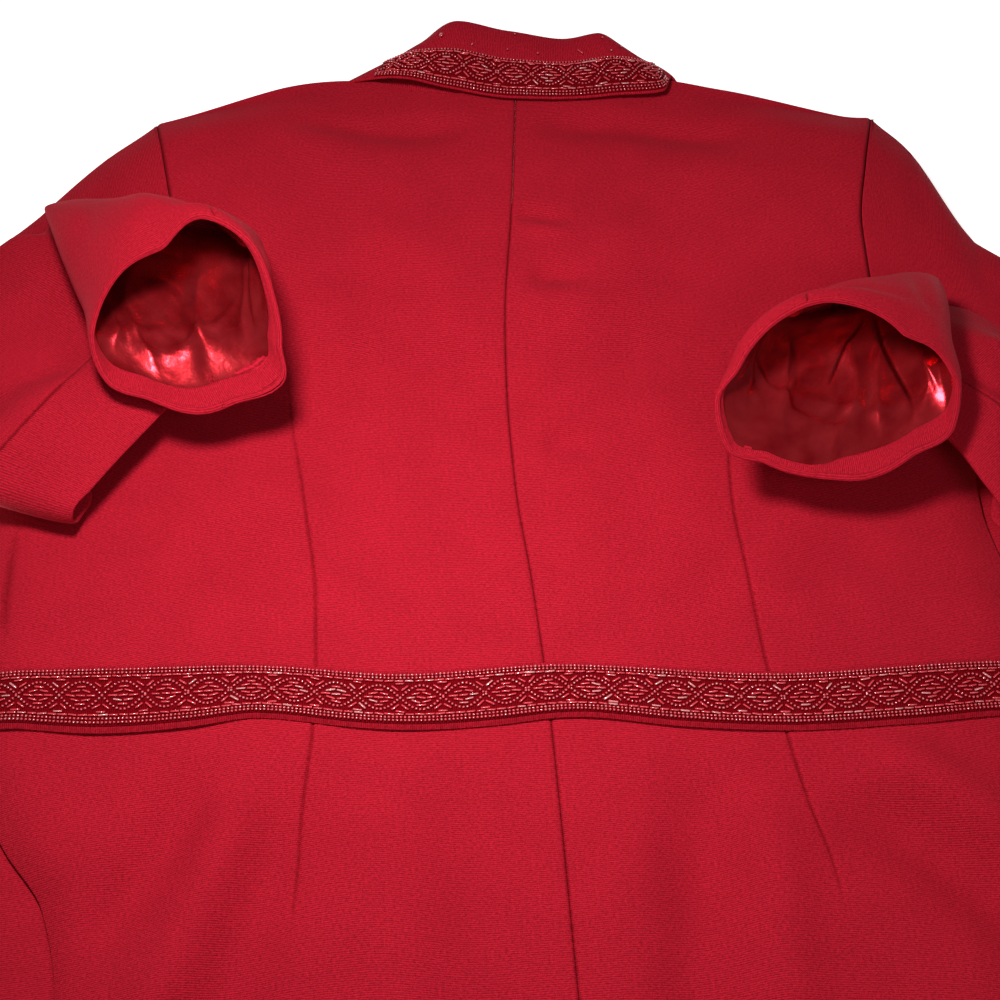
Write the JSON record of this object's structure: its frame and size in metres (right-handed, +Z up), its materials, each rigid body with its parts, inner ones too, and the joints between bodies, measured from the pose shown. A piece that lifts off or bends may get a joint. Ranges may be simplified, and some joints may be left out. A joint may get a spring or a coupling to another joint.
{
  "type": "long belted blazer",
  "caption": "Long tailored jacket laid face down, sleeves folded up on the back, with a beaded waist belt and a beaded fold-over collar.",
  "frame": {"origin": "on the surface it lies on, under the middle of its bounding box", "axes": "+Z up off the surface, out of the garment's back; +Y from the hem to the collar; +X to the wearer's right"},
  "size_m": [0.7674, 0.827, 0.1029],
  "materials": {
    "crepe": "matt crimson crepe with a fine cross rib",
    "satin": "glossy deep red lining satin",
    "beading": "red glass beads sewn close on cloth"
  },
  "bodies": {
    "root": {"back_left": "crepe", "back_right": "crepe", "front_left": "crepe", "front_right": "crepe", "top_sleeve_left": "crepe", "top_sleeve_right": "crepe", "under_sleeve_left": "crepe", "under_sleeve_right": "crepe", "cuff_facing_left": "crepe", "cuff_facing_right": "crepe", "sleeve_lining_left": "satin", "sleeve_lining_right": "satin", "collar_fall": "crepe", "collar_stand": "crepe", "collar_trim": "beading", "belt": "crepe", "belt_trim": "beading"}
  },
  "joints": []
}
